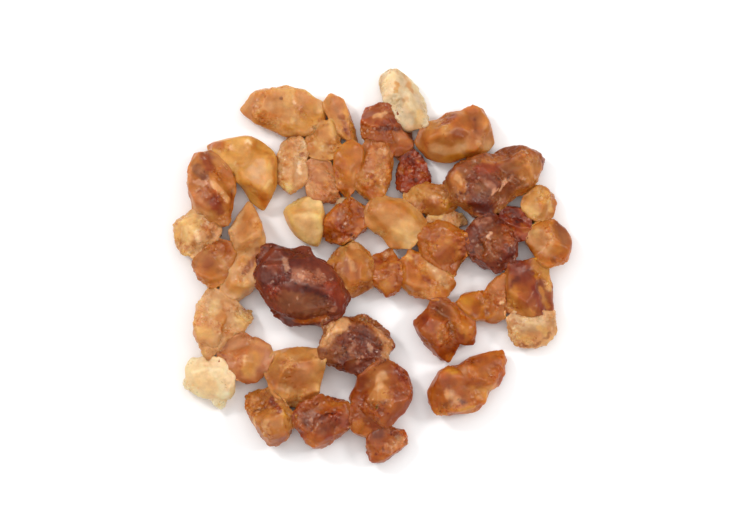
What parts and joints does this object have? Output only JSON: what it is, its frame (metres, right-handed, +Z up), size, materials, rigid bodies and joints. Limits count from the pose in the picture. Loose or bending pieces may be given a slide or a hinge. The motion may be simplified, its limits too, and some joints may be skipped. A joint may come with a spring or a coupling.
{
  "type": "rock sugar",
  "caption": "Scatter of loose rock sugar lumps in pale, honey, amber, brown and dark mahogany crystal, lying on a table.",
  "frame": {"origin": "on the table, under the middle of the scatter's box", "axes": "+Z up from the table, +X to the right and +Y away from the viewer, who looks down on the scatter"},
  "size_m": [0.0986, 0.0994, 0.0134],
  "materials": {
    "amber_sugar": "cloudy amber crystal sugar, satin flats and crusty breaks",
    "brown_sugar": "red-brown crystal sugar with molasses, crusty, a few glossy flats",
    "dark_sugar": "dark mahogany crystal sugar, rough crust that glints",
    "honey_sugar": "cloudy honey-coloured crystal sugar, satin flats and grainy crust",
    "pale_sugar": "nearly clear pale cream crystal sugar, glossy, with amber streaks"
  },
  "bodies": {
    "root": {"amber_lump_02": "amber_sugar", "amber_lump_07": "amber_sugar", "amber_lump_13": "amber_sugar", "amber_lump_15": "amber_sugar", "amber_lump_17": "amber_sugar", "amber_lump_18": "amber_sugar", "amber_lump_19": "amber_sugar", "amber_lump_21": "amber_sugar", "amber_lump_24": "amber_sugar", "amber_lump_25": "amber_sugar", "amber_lump_29": "amber_sugar", "amber_lump_30": "amber_sugar", "amber_lump_33": "amber_sugar", "amber_lump_35": "amber_sugar", "amber_lump_36": "amber_sugar", "amber_lump_38": "amber_sugar", "amber_lump_40": "amber_sugar", "amber_lump_41": "amber_sugar", "brown_lump_04": "brown_sugar", "brown_lump_05": "brown_sugar", "brown_lump_16": "brown_sugar", "brown_lump_23": "brown_sugar", "brown_lump_32": "brown_sugar", "brown_lump_42": "brown_sugar", "brown_lump_43": "brown_sugar", "brown_lump_44": "brown_sugar", "dark_lump_06": "dark_sugar", "dark_lump_08": "dark_sugar", "dark_lump_11": "dark_sugar", "dark_lump_12": "dark_sugar", "dark_lump_45": "dark_sugar", "dark_lump_46": "dark_sugar", "honey_lump_01": "honey_sugar", "honey_lump_09": "honey_sugar", "honey_lump_10": "honey_sugar", "honey_lump_14": "honey_sugar", "honey_lump_20": "honey_sugar", "honey_lump_22": "honey_sugar", "honey_lump_26": "honey_sugar", "honey_lump_27": "honey_sugar", "honey_lump_28": "honey_sugar", "honey_lump_31": "honey_sugar", "honey_lump_34": "honey_sugar", "honey_lump_37": "honey_sugar", "pale_lump_03": "pale_sugar", "pale_lump_39": "pale_sugar"}
  },
  "joints": []
}
